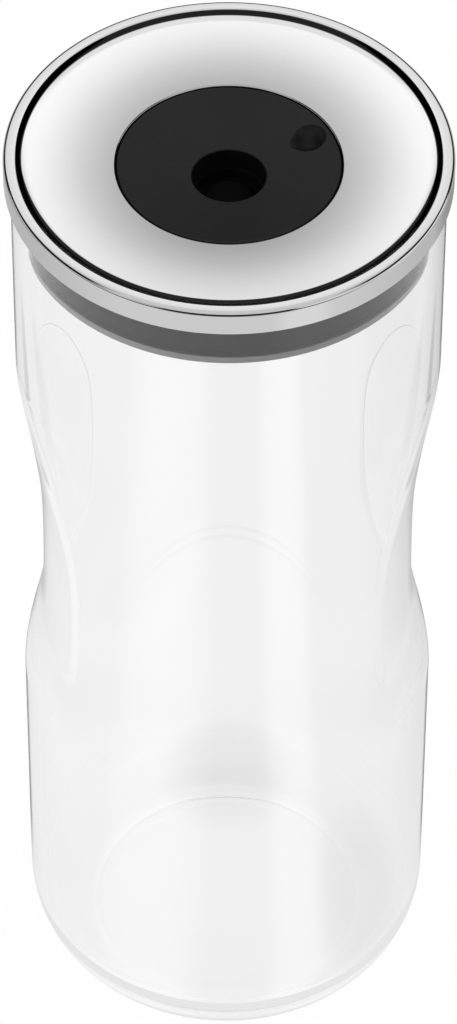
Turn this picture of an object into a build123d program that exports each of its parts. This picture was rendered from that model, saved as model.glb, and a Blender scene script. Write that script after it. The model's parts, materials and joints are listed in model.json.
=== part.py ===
from build123d import *
from math import asin, atan, cos, degrees, radians, sin
import os

# Whole canister, all lengths in millimetres, base plane at z = 0
overall_height = 279.0
jar_diameter = 104.8
glass_wall = 3.6
cut_overrun = 5.0
quarter_turn = 90.0

# Gaps between neighbours
skirt_gap = 0.9
lip_gap = 0.3
seal_gap = 0.3
cover_glass_gap = 0.6
dial_gap = 0.3
pocket_gap = 0.5
fit_gap = 0.1
running_gap = 0.06
washer_gap = 0.2
stop_gap = 0.3

# Glass jar: thick base with a pushed-up middle and an elliptical heel
heel_width = 15.8
heel_height = 20.5
foot_flat_width = 1.4
foot_step_width = 2.6
foot_step_height = 1.1
push_up_height = 2.8
inner_heel_width = 13.5
inner_heel_height = 15.0
floor_rise = 0.8
base_thickness = 4.4
lip_round = 1.5

# Grip recesses: one each side of the jar, their floor flatter than the jar in plan
grip_depth = 5.6
grip_plan_radius = 81.0
grip_bottom_height = 101.5
grip_length = 110.5
grip_edge_round = 12.0
inner_grip_edge_round = 10.0
# (height along the recess, depth) at points up the middle of a recess
grip_shares = [
    (-0.090, -0.42),
    (0.000, 0.00),
    (0.115, 0.50),
    (0.230, 0.88),
    (0.420, 1.00),
    (0.620, 0.94),
    (0.790, 0.62),
    (0.925, 0.25),
    (1.000, 0.00),
    (1.080, -0.30),
]

# Polished steel shell of the lid
steel_thickness = 0.7
skirt_height = 6.8
rim_round = 1.1
rim_land_width = 2.8
cove_depth = 1.2
cove_width = 1.9
cove_round = 5.5
dish_fall = 2.2
collar_depth = 2.1
collar_round = 0.5
edge_round = 0.2

# Adhesive ring that bonds the shell to the moulded core
bond_thickness = 0.3
bond_width = 6.0
bond_inset = 0.2

# Moulded core of the lid
core_wall = 1.8
core_skirt_height = 15.6
flange_inset = 0.4
flange_thickness = 0.9
deck_thickness = 1.8
pocket_depth = 7.3
pocket_floor_thickness = 1.6
bearing_rise = 0.8
bearing_wall = 2.3
well_depth = 5.6
well_floor_thickness = 1.6
suction_hole_radius = 1.2
suction_pitch_radius = 3.7
suction_hole_count = 6
rib_count = 8
rib_thickness = 1.4
rib_depth = 6.4
boss_count = 4
boss_radius = 3.2
boss_azimuth = 22.5
screw_pilot_radius = 1.1
screw_pilot_depth = 8.0

# Silicone seal on the core's wall
seal_flange_thickness = 1.1
seal_sleeve_thickness = 1.7
seal_lip_reach = 0.6
seal_lip_height = 1.5
seal_lip_round = 0.5
upper_lip_drop = 6.6

# Bottom cover with the valve guard, its rim holding the seal from below
cover_thickness = 1.6
cover_rim_height = 2.2
cover_rim_wall = 2.0
cover_rim_round = 0.6
cover_register_height = 2.0
cover_register_wall = 1.5
guard_radius = 12.0
guard_wall = 1.6
guard_length = 6.1
snap_depth = 0.3
snap_height = 0.9
snap_rise = 1.8
vent_port_radius = 1.8

# Countersunk screws that hold the bottom cover
screw_radius = 1.05
screw_length = 7.0
screw_head_radius = 2.1
screw_head_height = 1.1
screw_recess = 0.3
drive_radius = 0.55
drive_depth = 0.7

# Filter under the valve, and its snap-on cap
filter_thickness = 0.4
filter_hole_radius = 0.75
filter_hole_pitch = 2.7
filter_ring_count = 3
filter_ring_holes = 6
cap_floor = 1.3
cap_wall = 1.6
cap_skirt_height = 3.8
cap_slot_width = 1.6
cap_slot_radii_shares = [0.36, 0.68]
cap_spoke_angle = 24.0
cap_spokes = 4

# Vent dial with the pump socket through its middle
dial_radius = 26.9
socket_radius = 8.9
dial_fall = 4.0
dial_plate = 1.9
dial_skirt_wall = 1.5
dial_skirt_height = 6.3
dial_edge_round = 0.4
socket_round = 0.4
hub_wall = 1.8
hub_floor_gap = 0.4
socket_ledge_width = 0.4
socket_length = 6.0
thrust_land_width = 3.0
dimple_radius = 4.1
dimple_ball_radius = 4.6
dimple_tail_length = 8.0
dimple_wall = 1.4
dimple_place_radius = 21.35
dimple_azimuth = 27.6
dimple_skew = -8.0

# Turn of the dial, and the vent travel that its face cam gives
dial_turn = 60.0
vent_travel = 1.5
cam_gap = 0.25
cam_width = 6.0
cam_dwell = 8.0
cam_steps = 12
stop_azimuth = 290.0
stop_width = 2.3
stop_lug_angle = 8.0
stop_post_angle = 6.0
stop_lug_reach = 3.4
stop_post_height = 3.2

# Thrust washer, snap ring and ring seal on the dial's hub
washer_thickness = 0.6
washer_width = 3.1
snap_wire_radius = 0.4
snap_ring_height = 1.85
snap_ring_opening = 30.0
snap_groove_depth = 0.5
snap_groove_gap = 0.1
hub_seal_height = 4.4
hub_seal_thickness = 1.4
hub_seal_depth = 0.9
hub_seal_round = 0.4

# Check valve that the pump opens
poppet_radius = 5.6
poppet_thickness = 1.2
poppet_round = 0.5
poppet_stem_radius = 1.2
poppet_stem_length = 7.6
poppet_seal_radius = 5.8
poppet_seal_thickness = 0.8
poppet_clip_radius = 2.8
poppet_clip_thickness = 0.6
poppet_stem_tail = 0.7

# Vent valve that the dial opens, on the side away from the dimple
vent_azimuth = 210.0
vent_place_radius = 19.5
vent_stem_radius = 1.6
vent_head_radius = 2.7
vent_head_thickness = 1.2
vent_dome_height = 0.35
vent_tower_radius = 4.6
vent_spring_bore = 3.1
vent_spring_depth = 2.8
vent_web_thickness = 1.2
vent_seat_bore = 3.4
vent_seat_depth = 2.8
vent_head_rise = 2.0
vent_seal_radius = 2.9
vent_seal_thickness = 0.9
vent_clip_radius = 2.6
vent_clip_thickness = 0.6
vent_flute_radius = 0.5
vent_flute_count = 3

# Coil springs of the two valves
spring_turns = 3
poppet_spring_wire = 0.4
poppet_spring_radius = 2.1
vent_spring_wire = 0.45
vent_spring_radius = 2.2

# Radii and heights worked out from the sizes above
jar_radius = jar_diameter / 2
bore_radius = jar_radius - glass_wall
inner_skirt_radius = jar_radius + skirt_gap
skirt_radius = inner_skirt_radius + steel_thickness
dish_rim_radius = skirt_radius - rim_land_width - cove_width
dish_rim_z = overall_height - cove_depth
opening_radius = dial_radius + dial_gap
collar_radius = opening_radius + steel_thickness
opening_z = dish_rim_z - dish_fall
dish_slope = dish_fall / (dish_rim_radius - collar_radius)
deck_drop = steel_thickness + bond_thickness
flange_radius = jar_radius - flange_inset
seal_flange_radius = flange_radius - fit_gap
seal_radius = bore_radius - seal_gap
core_radius = seal_radius - seal_lip_reach - seal_sleeve_thickness
bond_outer_radius = core_radius - bond_inset
bond_inner_radius = bond_outer_radius - bond_width


def deck_top(radius):
    """Height of the core's top face, which follows the underside of the steel dish."""
    return dish_rim_z - deck_drop - (dish_rim_radius - radius) * dish_slope


flange_z = deck_top(dish_rim_radius) - flange_thickness
jar_height = flange_z - seal_flange_thickness - lip_gap
collar_z = opening_z - collar_depth
pocket_floor_z = opening_z - pocket_depth
hub_radius = socket_radius + hub_wall
bearing_radius = hub_radius + running_gap
pocket_radius = dial_radius + pocket_gap
pocket_outer_radius = pocket_radius + core_wall
boss_pitch_radius = (pocket_outer_radius + core_radius - core_wall) / 2
stop_radius = dial_radius - dial_skirt_wall - stop_gap - stop_width
bearing_outer_radius = bearing_radius + bearing_wall
bearing_z = pocket_floor_z + bearing_rise
well_floor_z = pocket_floor_z - well_depth
well_underside_z = well_floor_z - well_floor_thickness
socket_z = opening_z - dial_fall
hub_end_z = well_floor_z + hub_floor_gap
washer_z = bearing_z + washer_thickness
cover_z = flange_z - core_skirt_height
cover_radius = bore_radius - cover_glass_gap
guard_end_z = cover_z - guard_length
filter_z = guard_end_z - filter_thickness
poppet_seal_z = well_floor_z + fit_gap
poppet_head_z = poppet_seal_z + poppet_seal_thickness
poppet_tail_z = poppet_head_z - poppet_stem_length
poppet_clip_z = poppet_tail_z + poppet_stem_tail
vent_head_z = pocket_floor_z + vent_head_rise
vent_spring_z = pocket_floor_z - vent_spring_depth
vent_seat_z = vent_spring_z - vent_web_thickness
vent_tower_z = vent_seat_z - vent_seat_depth
vent_seal_z = vent_seat_z - fit_gap - vent_seal_thickness
vent_clip_z = vent_seal_z - vent_clip_thickness
cam_high_z = vent_head_z + cam_gap


def dial_top(radius):
    """Height of the dial's dished top face."""
    return opening_z - (dial_radius - radius) * dial_fall / (dial_radius - socket_radius)


def at_azimuth(radius, azimuth, height=0):
    """Location on a circle about the canister's axis."""
    angle = radians(azimuth)
    return Location((radius * cos(angle), radius * sin(angle), height))


def turned(corners):
    """Solid of revolution about the axis from (radius, height, rounding) corners."""
    points = [(radius, height) for radius, height, rounding in corners]
    rounds = [rounding for radius, height, rounding in corners]
    outline = FilletPolyline(*points, radius=rounds, close=True)
    return revolve(Plane.XZ * make_face(outline), Axis.Z)


def ring(inner, outer, bottom, top):
    """Plain ring, or a disc where the inner radius is zero."""
    corners = [(inner, bottom, 0), (outer, bottom, 0), (outer, top, 0), (inner, top, 0)]
    return turned(corners)


def post(radius, bottom, top):
    """Upright cylinder on the axis."""
    return Pos(0, 0, bottom) * extrude(Circle(radius), top - bottom)


def sector(inner, outer, bottom, top, azimuth, angle):
    """Block between two radii, spread evenly about an azimuth."""
    corners = [(inner, bottom), (outer, bottom), (outer, top), (inner, top)]
    section = Plane.XZ * make_face(Polyline(*corners, close=True))
    block = revolve(section, Axis.Z, revolution_arc=angle)
    return Rot(0, 0, azimuth - angle / 2) * block


def crown(radius, edge_z, middle_z):
    """Arc of a dome over the axis, from its edge up to its middle."""
    rise = middle_z - edge_z
    ball = (radius ** 2 + rise ** 2) / (2 * rise)
    half = radius / 2
    half_z = middle_z - ball + (ball ** 2 - half ** 2) ** 0.5
    return ThreePointArc((radius, edge_z), (half, half_z), (0, middle_z))


def coil(radius, wire, length, turns):
    """Compression spring stood on the base plane, its two ends ground flat."""
    line = Helix(length / turns, length, radius)
    start = Plane(origin=line @ 0, z_dir=line % 0)
    spring = sweep(start * Circle(wire / 2), path=line)
    slab = Pos(0, 0, length / 2) * Box(3 * radius, 3 * radius, length)
    return spring & slab


# Glass jar
def heel_arc(radius, height, width, rise):
    """Quarter of an ellipse from the foot out to the wall, about (radius, height)."""
    return EllipticalCenterArc((radius, height), width, rise, -quarter_turn, arc_size=quarter_turn)


def jar_blank():
    """Outside of the jar before the grips: heel, foot ring and pushed-up base."""
    foot_outer = jar_radius - heel_width
    foot_inner = foot_outer - foot_flat_width
    step_radius = foot_inner - foot_step_width
    heel = heel_arc(foot_outer, heel_height, heel_width, heel_height)
    outline = [
        Line((0, push_up_height), (0, jar_height)),
        Line((0, jar_height), (jar_radius, jar_height)),
        Line((jar_radius, jar_height), (jar_radius, heel_height)),
        heel,
        Line((foot_outer, 0), (foot_inner, 0)),
        Line((foot_inner, 0), (step_radius, foot_step_height)),
        crown(step_radius, foot_step_height, push_up_height),
    ]
    return revolve(Plane.XZ * make_face(outline), Axis.Z)


def jar_cavity():
    """Inside of the jar before the grips, open past the lip."""
    floor_z = push_up_height + base_thickness
    edge_z = floor_z - floor_rise
    flat_radius = bore_radius - inner_heel_width
    top = jar_height + cut_overrun
    heel_z = edge_z + inner_heel_height
    heel = heel_arc(flat_radius, heel_z, inner_heel_width, inner_heel_height)
    outline = [
        Line((0, floor_z), (0, top)),
        Line((0, top), (bore_radius, top)),
        Line((bore_radius, top), (bore_radius, heel_z)),
        heel,
        crown(flat_radius, edge_z, floor_z),
    ]
    return revolve(Plane.XZ * make_face(outline), Axis.Z)


def grip_bound(side, inset):
    """Round body that bounds a jar surface on one side by its recess floor."""
    waist_radius = grip_plan_radius - inset
    floor_line = [
        (-waist_radius - (1 - depth) * grip_depth, grip_bottom_height + rise * grip_length)
        for rise, depth in grip_shares
    ]
    low_x, high_x = floor_line[0][0], floor_line[-1][0]
    low_z, high_z = -cut_overrun, jar_height + 2 * cut_overrun
    outline = [
        Spline(*floor_line),
        Polyline(floor_line[-1], (high_x, high_z), (0, high_z)),
        Polyline((0, high_z), (0, low_z), (low_x, low_z), floor_line[0]),
    ]
    body = revolve(Plane.XZ * make_face(outline), Axis.Z)
    axis_x = jar_radius - grip_depth - grip_plan_radius
    return Pos(side * axis_x, 0, 0) * (body if side > 0 else body.mirror(Plane.YZ))


def gripped(blank, inset, edge_round):
    """A jar surface trimmed by both grip recesses, their edges well rounded."""
    body = (Rot(0, 0, quarter_turn) * blank) & grip_bound(1, inset) & grip_bound(-1, inset)
    edges = [edge for edge in body.edges() if edge.bounding_box().size.Z > grip_length / 2]
    creases = [edge for edge in edges if edge.bounding_box().size.Y > jar_radius / 2]
    return fillet(creases, edge_round)


def glass_jar():
    """Glass vessel with a grip recess each side, its wall even all the way up."""
    outside = gripped(jar_blank(), 0, grip_edge_round)
    jar = outside - gripped(jar_cavity(), glass_wall, inner_grip_edge_round)
    return fillet(jar.edges().group_by(Axis.Z)[-1], lip_round)


# Lid: fixed pieces
def lid_shell():
    """Spun steel cap: skirt, rounded rim, cove, shallow dish and a turned-down collar."""
    land_radius = skirt_radius - rim_land_width
    skirt_z = overall_height - skirt_height
    inner_land = land_radius + steel_thickness
    under = overall_height - steel_thickness
    inner_round = max(rim_round - steel_thickness, edge_round)
    return turned([
        (skirt_radius, skirt_z, edge_round),
        (skirt_radius, overall_height, rim_round),
        (land_radius, overall_height, rim_round),
        (dish_rim_radius, dish_rim_z, cove_round),
        (opening_radius, opening_z, collar_round),
        (opening_radius, collar_z, 0),
        (collar_radius, collar_z, 0),
        (collar_radius, opening_z - steel_thickness, edge_round),
        (dish_rim_radius, dish_rim_z - steel_thickness, cove_round),
        (inner_land, under, inner_round),
        (inner_skirt_radius, under, inner_round),
        (inner_skirt_radius, skirt_z, edge_round),
    ])


def bond_ring():
    """Thin adhesive ring between the steel dish and the core's deck."""
    low, high = deck_top(bond_inner_radius), deck_top(bond_outer_radius)
    return turned([
        (bond_inner_radius, low, 0),
        (bond_outer_radius, high, 0),
        (bond_outer_radius, high + bond_thickness, 0),
        (bond_inner_radius, low + bond_thickness, 0),
    ])


def vent_tower():
    """Tube under the pocket floor that carries the vent valve."""
    tower = post(vent_tower_radius, vent_tower_z, pocket_floor_z)
    return at_azimuth(vent_place_radius, vent_azimuth) * tower


def vent_bores():
    """Stepped bore of the vent tower, with air flutes beside the stem."""
    guide = vent_stem_radius + running_gap
    bores = post(vent_spring_bore, vent_spring_z, pocket_floor_z + cut_overrun)
    bores += post(guide, vent_tower_z, pocket_floor_z)
    bores += post(vent_seat_bore, vent_tower_z - cut_overrun, vent_seat_z)
    for place in PolarLocations(guide, vent_flute_count):
        bores += place * post(vent_flute_radius, vent_tower_z, pocket_floor_z)
    return at_azimuth(vent_place_radius, vent_azimuth) * bores


def stop_posts():
    """Two posts on the pocket floor that end the dial's turn."""
    reach = (stop_lug_angle + stop_post_angle) / 2 + degrees(stop_gap / stop_radius)
    top = pocket_floor_z + stop_post_height
    posts = []
    for azimuth in (stop_azimuth - reach, stop_azimuth + dial_turn + reach):
        outer = stop_radius + stop_width
        posts.append(sector(stop_radius, outer, pocket_floor_z, top, azimuth, stop_post_angle))
    return posts


def core_body():
    """Revolved body of the core: flange, deck, dial pocket, bearing and valve well."""
    rebate_radius = collar_radius + fit_gap
    wall_inner = core_radius - core_wall
    return turned([
        (flange_radius, flange_z, 0),
        (flange_radius, deck_top(flange_radius), edge_round),
        (rebate_radius, deck_top(rebate_radius), 0),
        (rebate_radius, collar_z, 0),
        (pocket_radius, collar_z, 0),
        (pocket_radius, pocket_floor_z, edge_round),
        (bearing_outer_radius, pocket_floor_z, 0),
        (bearing_outer_radius, bearing_z, 0),
        (bearing_radius, bearing_z, 0),
        (bearing_radius, well_floor_z, 0),
        (0, well_floor_z, 0),
        (0, well_underside_z, 0),
        (bearing_outer_radius, well_underside_z, edge_round),
        (bearing_outer_radius, pocket_floor_z - pocket_floor_thickness, edge_round),
        (pocket_outer_radius, pocket_floor_z - pocket_floor_thickness, edge_round),
        (pocket_outer_radius, deck_top(pocket_outer_radius) - deck_thickness, edge_round),
        (wall_inner, deck_top(wall_inner) - deck_thickness, edge_round),
        (wall_inner, cover_z, 0),
        (core_radius, cover_z, 0),
        (core_radius, flange_z, 0),
    ])


def core_ribs():
    """Radial ribs under the deck, from the pocket wall out to the core's wall."""
    inner = pocket_radius + core_wall / 2
    outer = core_radius - core_wall / 2
    ribs = []
    for place in PolarLocations(0, rib_count):
        profile = Polyline(
            (inner, deck_top(inner) - rib_depth),
            (outer, deck_top(outer) - rib_depth),
            (outer, deck_top(outer) - deck_thickness / 2),
            (inner, deck_top(inner) - deck_thickness / 2),
            close=True,
        )
        rib = extrude(Plane.XZ * make_face(profile), rib_thickness / 2, both=True)
        ribs.append(place * rib)
    return ribs


def boss_locations(height):
    """Places of the screw bosses, between the ribs."""
    step = 360 / boss_count
    return [at_azimuth(boss_pitch_radius, boss_azimuth + step * i, height) for i in range(boss_count)]


def screw_bosses():
    """Posts under the deck that the cover screws bite into."""
    top = deck_top(boss_pitch_radius) - deck_thickness / 2
    return [place * post(boss_radius, cover_z, top) for place in boss_locations(0)]


def core_holes():
    """Pilot holes, suction holes, stem guide and snap-ring groove of the core."""
    pilot = post(screw_pilot_radius, cover_z - cut_overrun, cover_z + screw_pilot_depth)
    holes = [place * pilot for place in boss_locations(0)]
    through = (well_underside_z - cut_overrun, well_floor_z + cut_overrun)
    for place in PolarLocations(suction_pitch_radius, suction_hole_count):
        holes.append(place * post(suction_hole_radius, *through))
    holes.append(post(poppet_stem_radius + running_gap, *through))
    snap_z = hub_end_z + snap_ring_height
    half = snap_wire_radius + dial_gap
    groove_outer = hub_radius + snap_wire_radius + dial_gap
    holes.append(ring(bearing_radius - snap_wire_radius, groove_outer, snap_z - half, snap_z + half))
    return holes


def lid_core():
    """Moulded core that carries the steel shell, the seal, the dial and both valves."""
    core = core_body()
    core += [*core_ribs(), *screw_bosses(), vent_tower(), *stop_posts()]
    return core - [*core_holes(), vent_bores()]


def seal_ring():
    """Silicone sleeve with a flange over the glass lip and two sealing lips."""
    sleeve = core_radius + seal_sleeve_thickness
    bottom = cover_z + fit_gap
    lip_bottoms = (bottom, flange_z - upper_lip_drop)
    corners = [(core_radius, bottom, 0)]
    for low in lip_bottoms:
        high = low + seal_lip_height
        corners.append((sleeve, low, 0))
        corners.append((seal_radius, low + seal_lip_height / 4, seal_lip_round / 2))
        corners.append((seal_radius, high - seal_lip_height / 4, seal_lip_round / 2))
        corners.append((sleeve, high, 0))
    under = flange_z - seal_flange_thickness
    corners.append((sleeve, under, seal_lip_round))
    corners.append((seal_flange_radius, under, seal_lip_round / 2))
    corners.append((seal_flange_radius, flange_z, 0))
    corners.append((core_radius, flange_z, 0))
    return turned(corners)


def grille_port(radius, azimuth, pitch_radius):
    """Round port through the cover's plate."""
    hole = post(radius, cover_z - cover_thickness - cut_overrun, cover_z + cut_overrun)
    return at_azimuth(pitch_radius, azimuth) * hole


def bottom_cover():
    """Cover under the core: rim below the seal, register ring and open valve guard."""
    register_radius = core_radius - core_wall - stop_gap
    plate_z = cover_z - cover_thickness
    rim_z = cover_z - cover_rim_height
    guard_outer = guard_radius + guard_wall
    groove_low = guard_end_z + snap_rise
    groove_high = groove_low + snap_height
    groove_radius = guard_outer - snap_depth
    cover = turned([
        (guard_radius, guard_end_z, 0),
        (guard_outer, guard_end_z, edge_round),
        (guard_outer, groove_low, 0),
        (groove_radius, groove_low + snap_depth, 0),
        (groove_radius, groove_high - snap_depth, 0),
        (guard_outer, groove_high, 0),
        (guard_outer, plate_z, edge_round),
        (cover_radius - cover_rim_wall, plate_z, edge_round),
        (cover_radius - cover_rim_wall, rim_z, edge_round),
        (cover_radius, rim_z, cover_rim_round),
        (cover_radius, cover_z, edge_round),
        (register_radius, cover_z, 0),
        (register_radius, cover_z + cover_register_height, edge_round),
        (register_radius - cover_register_wall, cover_z + cover_register_height, edge_round),
        (register_radius - cover_register_wall, cover_z, 0),
        (guard_radius, cover_z, edge_round),
    ])
    cover -= grille_port(vent_port_radius, vent_azimuth, vent_place_radius)
    cover -= [place * screw_seat() for place in boss_locations(plate_z)]
    return cover


def screw_seat():
    """Clearance hole and countersink for a cover screw, its mouth on the base plane."""
    clearance = screw_radius + fit_gap
    mouth = screw_head_radius + fit_gap
    sink = turned([
        (0, -cut_overrun, 0),
        (mouth, -cut_overrun, 0),
        (mouth, screw_recess, 0),
        (clearance, screw_recess + screw_head_height, 0),
        (0, screw_recess + screw_head_height, 0),
    ])
    return sink + post(clearance, 0, cover_thickness + cut_overrun)


def cover_screws():
    """Countersunk screws, recessed in the cover's underside."""
    top = screw_recess + screw_length
    screw = turned([
        (0, screw_recess, 0),
        (screw_head_radius, screw_recess, 0),
        (screw_radius, screw_recess + screw_head_height, 0),
        (screw_radius, top - screw_radius, 0),
        (0, top, 0),
    ])
    drive = Pos(0, 0, screw_recess) * extrude(RegularPolygon(drive_radius, 6), drive_depth)
    screw -= drive
    plate_z = cover_z - cover_thickness
    return Compound(children=[place * screw for place in boss_locations(plate_z)])


def filter_screen():
    """Perforated disc that keeps powder out of the valve."""
    radius = guard_radius + guard_wall - edge_round
    holes = [post(filter_hole_radius, -cut_overrun, cut_overrun)]
    for row in range(1, filter_ring_count + 1):
        for place in PolarLocations(row * filter_hole_pitch, row * filter_ring_holes):
            holes.append(place * post(filter_hole_radius, -cut_overrun, cut_overrun))
    screen = post(radius, filter_z, guard_end_z)
    return screen - [Pos(0, 0, filter_z) * hole for hole in holes]


def filter_cap():
    """Slotted cap that snaps over the valve guard and clamps the filter."""
    inner = guard_radius + guard_wall + fit_gap
    outer = inner + cap_wall
    floor_z = filter_z - cap_floor
    bead_z = guard_end_z + snap_rise + snap_height / 2
    bead = snap_height / 2 - snap_depth
    bead_radius = inner - snap_depth + fit_gap / 2
    cap = turned([
        (0, floor_z, 0),
        (outer, floor_z, cap_wall / 2),
        (outer, floor_z + cap_skirt_height, edge_round),
        (inner, floor_z + cap_skirt_height, 0),
        (inner, bead_z + bead + snap_depth / 2, 0),
        (bead_radius, bead_z + bead / 2, 0),
        (bead_radius, bead_z - bead / 2, 0),
        (inner, bead_z - bead - snap_depth / 2, 0),
        (inner, filter_z, 0),
        (0, filter_z, 0),
    ])
    step = 360 / cap_spokes
    through = (floor_z - cut_overrun, filter_z + cut_overrun)
    slots = []
    for share in cap_slot_radii_shares:
        low = guard_radius * share - cap_slot_width / 2
        high = low + cap_slot_width
        slots += [sector(low, high, *through, step * i, step - cap_spoke_angle) for i in range(cap_spokes)]
    return cap - slots


# Dial and what turns with it
def dial_body():
    """Dished dial plate with its skirt, thrust land and grooved hub."""
    ledge_z = socket_z - socket_length
    skirt_z = opening_z - dial_skirt_height
    skirt_inner = dial_radius - dial_skirt_wall
    land_radius = hub_radius + thrust_land_width
    land_z = washer_z + washer_gap
    snap_z = hub_end_z + snap_ring_height
    snap_half = snap_wire_radius + snap_groove_gap
    snap_floor = hub_radius - snap_groove_depth
    seal_low = hub_end_z + hub_seal_height - snap_groove_gap / 2
    seal_high = seal_low + hub_seal_thickness + snap_groove_gap
    seal_floor = hub_radius - hub_seal_depth
    return turned([
        (socket_radius - socket_ledge_width, hub_end_z, 0),
        (hub_radius, hub_end_z, edge_round),
        (hub_radius, snap_z - snap_half, 0),
        (snap_floor, snap_z - snap_half, 0),
        (snap_floor, snap_z + snap_half, 0),
        (hub_radius, snap_z + snap_half, 0),
        (hub_radius, seal_low, 0),
        (seal_floor, seal_low, 0),
        (seal_floor, seal_high, 0),
        (hub_radius, seal_high, 0),
        (hub_radius, land_z, 0),
        (land_radius, land_z, 0),
        (land_radius, dial_top(land_radius) - dial_plate, 0),
        (skirt_inner, dial_top(skirt_inner) - dial_plate, edge_round),
        (skirt_inner, skirt_z, 0),
        (dial_radius, skirt_z, edge_round),
        (dial_radius, opening_z, dial_edge_round),
        (socket_radius, socket_z, socket_round),
        (socket_radius, ledge_z, 0),
        (socket_radius - socket_ledge_width, ledge_z, 0),
    ])


def face_cam():
    """Ramp under the dial that presses the vent stem down evenly as the dial turns."""
    start = vent_azimuth + cam_dwell
    end = vent_azimuth - dial_turn - cam_dwell
    inner, outer = vent_place_radius - cam_width / 2, vent_place_radius + cam_width / 2
    ramp = [vent_azimuth - dial_turn * i / cam_steps for i in range(cam_steps + 1)]
    sections = []
    for azimuth in [start, *ramp, end]:
        turn = min(max(vent_azimuth - azimuth, 0), dial_turn) / dial_turn
        low = cam_high_z - vent_travel * turn
        corners = [
            (inner, low),
            (outer, low),
            (outer, dial_top(outer) - dial_plate / 2),
            (inner, dial_top(inner) - dial_plate / 2),
        ]
        face = make_face(Polyline(*corners, close=True))
        sections.append(Rot(0, 0, azimuth) * (Plane.XZ * face))
    return loft(sections, ruled=True)


def stop_lug():
    """Lug under the dial that meets the stop posts."""
    low = pocket_floor_z + stop_post_height - stop_lug_reach + stop_gap
    top = dial_top(stop_radius) - dial_plate / 2
    return sector(stop_radius, stop_radius + stop_width, low, top, stop_azimuth, stop_lug_angle)


def dimple_drop(wall):
    """Ball with a pointed tail that lies along the dial's face, towards the socket."""
    radius = dimple_ball_radius + wall
    taper = asin(dimple_ball_radius / dimple_tail_length)
    half = (taper - radians(quarter_turn)) / 2
    shoulder = (radius * cos(taper), radius * sin(taper))
    tail = (0, radius / sin(taper))
    outline = [
        ThreePointArc((0, -radius), (radius * cos(half), radius * sin(half)), shoulder),
        Polyline(shoulder, tail, (0, -radius)),
    ]
    drop = revolve(Plane.XZ * make_face(outline), Axis.Z)
    slope = degrees(atan(dial_fall / (dial_radius - socket_radius)))
    lift = (dimple_ball_radius ** 2 - dimple_radius ** 2) ** 0.5
    place = at_azimuth(dimple_place_radius, dimple_azimuth, dial_top(dimple_place_radius) + lift)
    return place * Rot(0, 0, dimple_azimuth + dimple_skew) * Rot(0, -quarter_turn - slope, 0) * drop


def vent_dial():
    """Dial with the pump socket, fingertip dimple, face cam and stop lug."""
    dial = dial_body() + face_cam() + stop_lug()
    room = ring(bearing_outer_radius, dial_radius - dial_skirt_wall / 2, pocket_floor_z, opening_z)
    hollow_room = room & turned([
        (bearing_outer_radius, pocket_floor_z, 0),
        (dial_radius, pocket_floor_z, 0),
        (dial_radius, dial_top(dial_radius) - dial_plate / 2, 0),
        (bearing_outer_radius, dial_top(bearing_outer_radius) - dial_plate / 2, 0),
    ])
    dial += dimple_drop(dimple_wall) & hollow_room
    return dial - dimple_drop(0)


def dial_washer():
    """Slippery washer between the core's bearing and the dial."""
    return ring(bearing_radius, bearing_radius + washer_width - running_gap, bearing_z, washer_z)


def snap_ring():
    """Split wire ring that keeps the hub in its bearing."""
    height = hub_end_z + snap_ring_height
    section = Plane.XZ * (Pos(hub_radius, height) * Circle(snap_wire_radius))
    ring_wire = revolve(section, Axis.Z, revolution_arc=360 - snap_ring_opening)
    return Rot(0, 0, snap_ring_opening / 2) * ring_wire


def hub_seal():
    """Ring seal in the hub's groove, squeezed to the bearing."""
    inner = hub_radius - hub_seal_depth
    outer = bearing_radius - running_gap / 2
    low = hub_end_z + hub_seal_height
    high = low + hub_seal_thickness
    return turned([
        (inner, low, hub_seal_round),
        (outer, low, hub_seal_round),
        (outer, high, hub_seal_round),
        (inner, high, hub_seal_round),
    ])


# Check valve
def check_poppet():
    """Valve head and stem that the pump's suction lifts."""
    top = poppet_head_z + poppet_thickness
    return turned([
        (0, poppet_tail_z, 0),
        (poppet_stem_radius, poppet_tail_z, edge_round),
        (poppet_stem_radius, poppet_head_z, 0),
        (poppet_radius, poppet_head_z, 0),
        (poppet_radius, top, poppet_round),
        (0, top, 0),
    ])


def poppet_seal():
    """Silicone washer under the valve head, over the suction holes."""
    return ring(poppet_stem_radius, poppet_seal_radius, poppet_seal_z, poppet_head_z)


def poppet_clip():
    """Push-on clip at the stem's end, under its spring."""
    top = poppet_clip_z + poppet_clip_thickness
    return ring(poppet_stem_radius, poppet_clip_radius, poppet_clip_z, top)


def poppet_spring():
    """Spring that pulls the check valve shut."""
    bottom = poppet_clip_z + poppet_clip_thickness
    spring = coil(poppet_spring_radius, poppet_spring_wire, well_underside_z - bottom, spring_turns)
    return Pos(0, 0, bottom) * spring


# Vent valve
def vent_pin():
    """Stem with a domed head that the dial's cam presses down."""
    top = vent_head_z
    shoulder = top - vent_head_thickness
    outline = [
        Line((0, vent_clip_z), (vent_stem_radius, vent_clip_z)),
        Line((vent_stem_radius, vent_clip_z), (vent_stem_radius, shoulder)),
        Line((vent_stem_radius, shoulder), (vent_head_radius, shoulder)),
        Line((vent_head_radius, shoulder), (vent_head_radius, top - vent_dome_height)),
        crown(vent_head_radius, top - vent_dome_height, top),
        Line((0, top), (0, vent_clip_z)),
    ]
    pin = revolve(Plane.XZ * make_face(outline), Axis.Z)
    return at_azimuth(vent_place_radius, vent_azimuth) * pin


def vent_seal():
    """Silicone washer that the spring holds up against the vent seat."""
    washer = ring(vent_stem_radius, vent_seal_radius, vent_seal_z, vent_seal_z + vent_seal_thickness)
    return at_azimuth(vent_place_radius, vent_azimuth) * washer


def vent_clip():
    """Push-on clip under the vent seal."""
    clip = ring(vent_stem_radius, vent_clip_radius, vent_clip_z, vent_seal_z)
    return at_azimuth(vent_place_radius, vent_azimuth) * clip


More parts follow.
